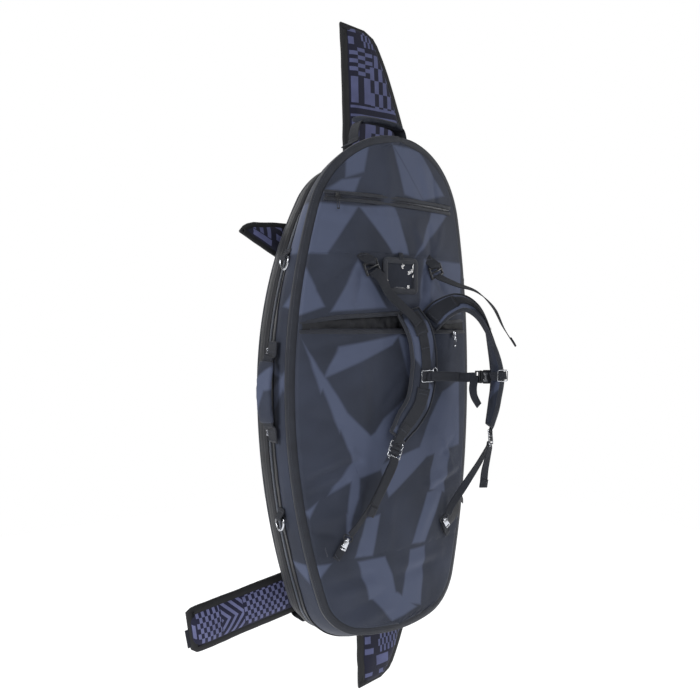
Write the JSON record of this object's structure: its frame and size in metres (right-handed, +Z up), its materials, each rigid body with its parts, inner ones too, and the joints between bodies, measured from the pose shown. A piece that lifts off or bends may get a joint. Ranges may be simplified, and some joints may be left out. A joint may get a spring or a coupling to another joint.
{
  "type": "board bag",
  "caption": "Upright padded board bag that opens like a book, with a backpack harness on its front and padded foil sleeves strapped behind.",
  "frame": {"origin": "underside of the top carrying handle, at its middle, where the bag hangs", "axes": "+Z up along the bag, +X to the right seen from its front, +Y towards its back"},
  "size_m": [0.7454, 0.3578, 1.5821],
  "materials": {
    "shell_cloth": "dull woven polyester",
    "binding_tape": "grosgrain tape",
    "webbing": "ribbed webbing",
    "black_plastic": "satin moulded acetal",
    "bright_metal": "polished",
    "zip_tape": "woven tape with moulded teeth",
    "lining_foam": "brushed lining",
    "clear_vinyl": "clear flexible sheet",
    "pattern_cloth": "printed woven cloth"
  },
  "bodies": {
    "root": {"back_binding": "binding_tape", "back_foam": "lining_foam", "back_gusset": "shell_cloth", "back_panel": "shell_cloth", "long_wing_sleeve": "pattern_cloth", "main_zip_back_tape": "zip_tape", "mast_loop": "webbing", "mast_sleeve": "pattern_cloth", "small_wing_loop": "webbing", "small_wing_sleeve": "pattern_cloth", "sleeve_strap_upper": "webbing", "sleeve_strap_lower": "webbing", "sleeve_upper_socket": "black_plastic", "sleeve_lower_socket": "black_plastic"},
    "lid": {"front_binding": "binding_tape", "front_gusset": "shell_cloth", "front_panel": "shell_cloth", "harness_pocket": "shell_cloth", "hook_loop_left": "webbing", "hook_loop_right": "webbing", "lifter_lock_left": "black_plastic", "lifter_lock_right": "black_plastic", "lifter_strap_left": "webbing", "main_zip_front_tape": "zip_tape", "pocket_zip_tape": "zip_tape", "ring_tab_left_upper": "webbing", "ring_tab_left_lower": "webbing", "ring_tab_right_upper": "webbing", "ring_tab_right_lower": "webbing", "top_pocket": "shell_cloth", "top_zip_tape": "zip_tape", "yoke_panel": "shell_cloth", "card_window_frame": "binding_tape", "card_window_vinyl": "clear_vinyl"},
    "harness": {"shoulder_pad_left": "shell_cloth", "shoulder_pad_right": "shell_cloth", "load_strap_left": "webbing", "load_strap_right": "webbing", "load_lock_left": "bright_metal", "load_lock_right": "bright_metal", "strap_hook_left": "bright_metal", "strap_hook_right": "bright_metal", "sternum_strap": "webbing", "sternum_socket": "black_plastic", "sternum_adjuster_left": "bright_metal", "lifter_strap_right": "webbing"},
    "sternum_plug": {"sternum_plug": "black_plastic"},
    "sleeve_upper_plug": {"sleeve_upper_plug": "black_plastic"},
    "sleeve_lower_plug": {"sleeve_lower_plug": "black_plastic"},
    "top_zip_slider": {"top_zip_slider": "black_plastic"},
    "pocket_zip_slider": {"pocket_zip_slider": "bright_metal"},
    "main_zip_slider_upper": {"main_zip_slider_upper": "bright_metal"},
    "main_zip_slider_lower": {"main_zip_slider_lower": "bright_metal"},
    "top_handle": {"top_handle": "shell_cloth"},
    "side_handle": {"side_handle": "shell_cloth"},
    "d_ring_left_upper": {"d_ring_left_upper": "bright_metal"},
    "d_ring_left_lower": {"d_ring_left_lower": "bright_metal"},
    "d_ring_right_upper": {"d_ring_right_upper": "bright_metal"},
    "d_ring_right_lower": {"d_ring_right_lower": "bright_metal"}
  },
  "joints": [
    {"name": "lid_open", "type": "hinge", "parent": "root", "child": "lid", "pos_m": [0.25, 0.05, -0.568], "axis": [0, 0, 1], "range_deg": [0, 110]},
    {"name": "harness_lift", "type": "hinge", "parent": "lid", "child": "harness", "pos_m": [0.06, -0.078, -0.318], "axis": [-1, 0, 0], "range_deg": [0, 50]},
    {"name": "sternum_release", "type": "slide", "parent": "harness", "child": "sternum_plug", "axis": [-0.9796, 0.1999, 0.02], "range_m": [0, 0.03]},
    {"name": "sleeve_upper_release", "type": "slide", "parent": "root", "child": "sleeve_upper_plug", "axis": [-1, 0, 0], "range_m": [0, 0.03]},
    {"name": "sleeve_lower_release", "type": "slide", "parent": "root", "child": "sleeve_lower_plug", "axis": [-1, 0, 0], "range_m": [0, 0.03]},
    {"name": "top_zip_run", "type": "hinge", "parent": "lid", "child": "top_zip_slider", "pos_m": [0, 0.62, -0.176], "axis": [0, 0, 1], "range_deg": [0, 24]},
    {"name": "pocket_zip_run", "type": "hinge", "parent": "lid", "child": "pocket_zip_slider", "pos_m": [0, 0.54654, -0.455], "axis": [0, 0, -1], "range_deg": [0, 26]},
    {"name": "main_zip_upper_run", "type": "hinge", "parent": "root", "child": "main_zip_slider_upper", "pos_m": [0.653, 0.05, -0.568], "axis": [0, 1, 0], "range_deg": [0, 18]},
    {"name": "main_zip_lower_run", "type": "hinge", "parent": "root", "child": "main_zip_slider_lower", "pos_m": [1.253, 0.05, -0.568], "axis": [0, -1, 0], "range_deg": [0, 11]},
    {"name": "top_handle_swing", "type": "hinge", "parent": "lid", "child": "top_handle", "pos_m": [0, 0, -0.048], "axis": [1, 0, 0], "range_deg": [-60, 60]},
    {"name": "side_handle_swing", "type": "hinge", "parent": "lid", "child": "side_handle", "pos_m": [-0.26355, 0.01033, -0.568], "axis": [0, 0, 1], "range_deg": [-50, 50]},
    {"name": "d_ring_left_upper_swing", "type": "hinge", "parent": "lid", "child": "d_ring_left_upper", "pos_m": [-0.22905, 0.01388, -0.29833], "axis": [0, 1, 0], "range_deg": [0, 100]},
    {"name": "d_ring_left_lower_swing", "type": "hinge", "parent": "lid", "child": "d_ring_left_lower", "pos_m": [-0.24084, 0.01405, -0.82943], "axis": [0, 1, 0], "range_deg": [0, 100]},
    {"name": "d_ring_right_upper_swing", "type": "hinge", "parent": "lid", "child": "d_ring_right_upper", "pos_m": [0.22905, 0.01388, -0.29833], "axis": [0, -1, 0], "range_deg": [0, 100]},
    {"name": "d_ring_right_lower_swing", "type": "hinge", "parent": "lid", "child": "d_ring_right_lower", "pos_m": [0.24084, 0.01405, -0.82943], "axis": [0, -1, 0], "range_deg": [0, 100]}
  ]
}
